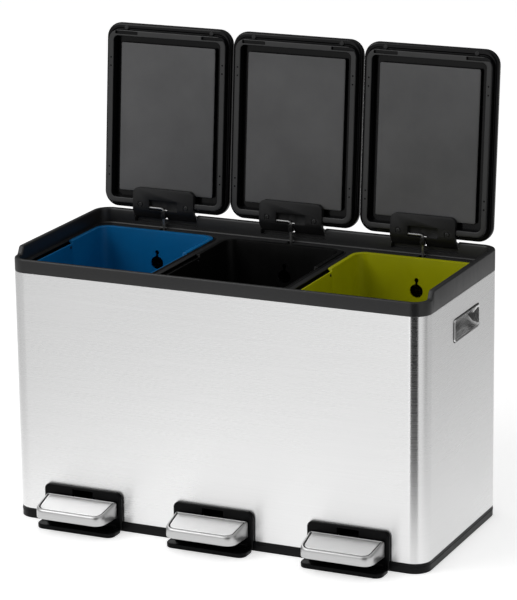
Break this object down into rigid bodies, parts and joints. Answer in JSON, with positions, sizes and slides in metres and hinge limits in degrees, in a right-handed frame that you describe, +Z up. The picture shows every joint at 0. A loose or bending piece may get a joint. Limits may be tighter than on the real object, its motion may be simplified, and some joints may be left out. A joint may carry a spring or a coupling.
{
  "type": "recycling bin station",
  "caption": "Pedal recycling bin station: brushed steel cabinet, hinged lids, lift-out colour-coded buckets with bail handles, front pedals.",
  "frame": {"origin": "centre of the cabinet's footprint, on the floor", "axes": "+Z up, -Y towards the pedals, +X to the right seen from the pedals"},
  "size_m": [0.6224, 0.3599, 0.6552],
  "materials": {
    "wrap_steel": "fine horizontal brushing, satin",
    "grip_steel": "satin",
    "pedal_steel": "brushed top, polished bevel",
    "lid_steel": "fine brushing, satin",
    "frame_black": "fine moulded grain",
    "base_black": "fine moulded grain",
    "surround_black": "satin moulded",
    "shelf_grey": "moulded",
    "lid_black": "glossy moulded",
    "lid_liner": "satin",
    "bracket_black": "satin moulded",
    "clip_black": "moulded",
    "rubber": "matt",
    "fixing_steel": "turned",
    "screw_black": "black oxide",
    "lever_steel": "black powder coat",
    "wire_steel": "drawn wire",
    "wire_black": "black coated wire",
    "bucket_blue": "moulded, satin inside",
    "bucket_black": "moulded",
    "bucket_lime": "moulded, satin inside"
  },
  "bodies": {
    "cabinet": {"steel_shell": "wrap_steel", "rear_sheet": "wrap_steel", "top_frame": "frame_black", "base_tray": "base_black", "bucket_shelf": "shelf_grey", "anti_slip_pads": "rubber", "base_screws": "fixing_steel", "grip_cup_left": "grip_steel", "grip_cup_right": "grip_steel", "pedal_surround_left": "surround_black", "lever_pin_left": "fixing_steel", "hinge_pins_left": "fixing_steel", "pedal_surround_middle": "surround_black", "lever_pin_middle": "fixing_steel", "hinge_pins_middle": "fixing_steel", "pedal_surround_right": "surround_black", "lever_pin_right": "fixing_steel", "hinge_pins_right": "fixing_steel"},
    "lid_left": {"lid_frame_left": "lid_black", "lid_cover_left": "lid_steel", "lid_panel_left": "lid_liner", "hinge_bracket_left": "bracket_black", "bracket_screws_left": "screw_black", "lid_bumpers_left": "rubber"},
    "rod_left": {"lift_rod_left": "wire_steel", "rod_clip_left": "clip_black", "rod_foot_left": "clip_black"},
    "pedal_left": {"pedal_lever_left": "lever_steel", "pedal_cap_left": "pedal_steel", "pedal_core_left": "surround_black"},
    "bucket_left": {"bucket_left": "bucket_blue"},
    "bail_left": {"bail_handle_left": "wire_black"},
    "lid_middle": {"lid_frame_middle": "lid_black", "lid_cover_middle": "lid_steel", "lid_panel_middle": "lid_liner", "hinge_bracket_middle": "bracket_black", "bracket_screws_middle": "screw_black", "lid_bumpers_middle": "rubber"},
    "rod_middle": {"lift_rod_middle": "wire_steel", "rod_clip_middle": "clip_black", "rod_foot_middle": "clip_black"},
    "pedal_middle": {"pedal_lever_middle": "lever_steel", "pedal_cap_middle": "pedal_steel", "pedal_core_middle": "surround_black"},
    "bucket_middle": {"bucket_middle": "bucket_black"},
    "bail_middle": {"bail_handle_middle": "wire_black"},
    "lid_right": {"lid_frame_right": "lid_black", "lid_cover_right": "lid_steel", "lid_panel_right": "lid_liner", "hinge_bracket_right": "bracket_black", "bracket_screws_right": "screw_black", "lid_bumpers_right": "rubber"},
    "rod_right": {"lift_rod_right": "wire_steel", "rod_clip_right": "clip_black", "rod_foot_right": "clip_black"},
    "pedal_right": {"pedal_lever_right": "lever_steel", "pedal_cap_right": "pedal_steel", "pedal_core_right": "surround_black"},
    "bucket_right": {"bucket_right": "bucket_lime"},
    "bail_right": {"bail_handle_right": "wire_black"}
  },
  "joints": [
    {"name": "lid_left_hinge", "type": "hinge", "parent": "cabinet", "child": "lid_left", "pos_m": [-0.201, 0.134, 0.382], "axis": [-1, 0, 0], "range_deg": [-95, 0]},
    {"name": "rod_left_hook", "type": "hinge", "parent": "lid_left", "child": "rod_left", "pos_m": [-0.201, 0.12567, 0.39578], "axis": [-1, 0, 0], "range_deg": [0, 95]},
    {"name": "pedal_left_pivot", "type": "hinge", "parent": "cabinet", "child": "pedal_left", "pos_m": [-0.201, -0.05, 0.0345], "axis": [1, 0, 0], "range_deg": [-8, 0]},
    {"name": "bucket_left_lift", "type": "slide", "parent": "cabinet", "child": "bucket_left", "axis": [0, 0, 1], "range_m": [0, 0.34]},
    {"name": "bail_left_pivot", "type": "hinge", "parent": "bucket_left", "child": "bail_left", "pos_m": [-0.201, 0.0015, 0.36], "axis": [-1, 0, 0], "range_deg": [0, 95]},
    {"name": "lid_middle_hinge", "type": "hinge", "parent": "cabinet", "child": "lid_middle", "pos_m": [0, 0.134, 0.382], "axis": [-1, 0, 0], "range_deg": [-95, 0]},
    {"name": "rod_middle_hook", "type": "hinge", "parent": "lid_middle", "child": "rod_middle", "pos_m": [0, 0.12567, 0.39578], "axis": [-1, 0, 0], "range_deg": [0, 95]},
    {"name": "pedal_middle_pivot", "type": "hinge", "parent": "cabinet", "child": "pedal_middle", "pos_m": [0, -0.05, 0.0345], "axis": [1, 0, 0], "range_deg": [-8, 0]},
    {"name": "bucket_middle_lift", "type": "slide", "parent": "cabinet", "child": "bucket_middle", "axis": [0, 0, 1], "range_m": [0, 0.34]},
    {"name": "bail_middle_pivot", "type": "hinge", "parent": "bucket_middle", "child": "bail_middle", "pos_m": [0, 0.0015, 0.36], "axis": [-1, 0, 0], "range_deg": [0, 95]},
    {"name": "lid_right_hinge", "type": "hinge", "parent": "cabinet", "child": "lid_right", "pos_m": [0.201, 0.134, 0.382], "axis": [-1, 0, 0], "range_deg": [-95, 0]},
    {"name": "rod_right_hook", "type": "hinge", "parent": "lid_right", "child": "rod_right", "pos_m": [0.201, 0.12567, 0.39578], "axis": [-1, 0, 0], "range_deg": [0, 95]},
    {"name": "pedal_right_pivot", "type": "hinge", "parent": "cabinet", "child": "pedal_right", "pos_m": [0.201, -0.05, 0.0345], "axis": [1, 0, 0], "range_deg": [-8, 0]},
    {"name": "bucket_right_lift", "type": "slide", "parent": "cabinet", "child": "bucket_right", "axis": [0, 0, 1], "range_m": [0, 0.34]},
    {"name": "bail_right_pivot", "type": "hinge", "parent": "bucket_right", "child": "bail_right", "pos_m": [0.201, 0.0015, 0.36], "axis": [-1, 0, 0], "range_deg": [0, 95]}
  ],
  "couplings": [
    {"joint": "rod_left_hook", "follows": "lid_left_hinge", "ratio": -1},
    {"joint": "pedal_left_pivot", "follows": "lid_left_hinge", "ratio": 0.0842},
    {"joint": "rod_middle_hook", "follows": "lid_middle_hinge", "ratio": -1},
    {"joint": "pedal_middle_pivot", "follows": "lid_middle_hinge", "ratio": 0.0842},
    {"joint": "rod_right_hook", "follows": "lid_right_hinge", "ratio": -1},
    {"joint": "pedal_right_pivot", "follows": "lid_right_hinge", "ratio": 0.0842}
  ]
}
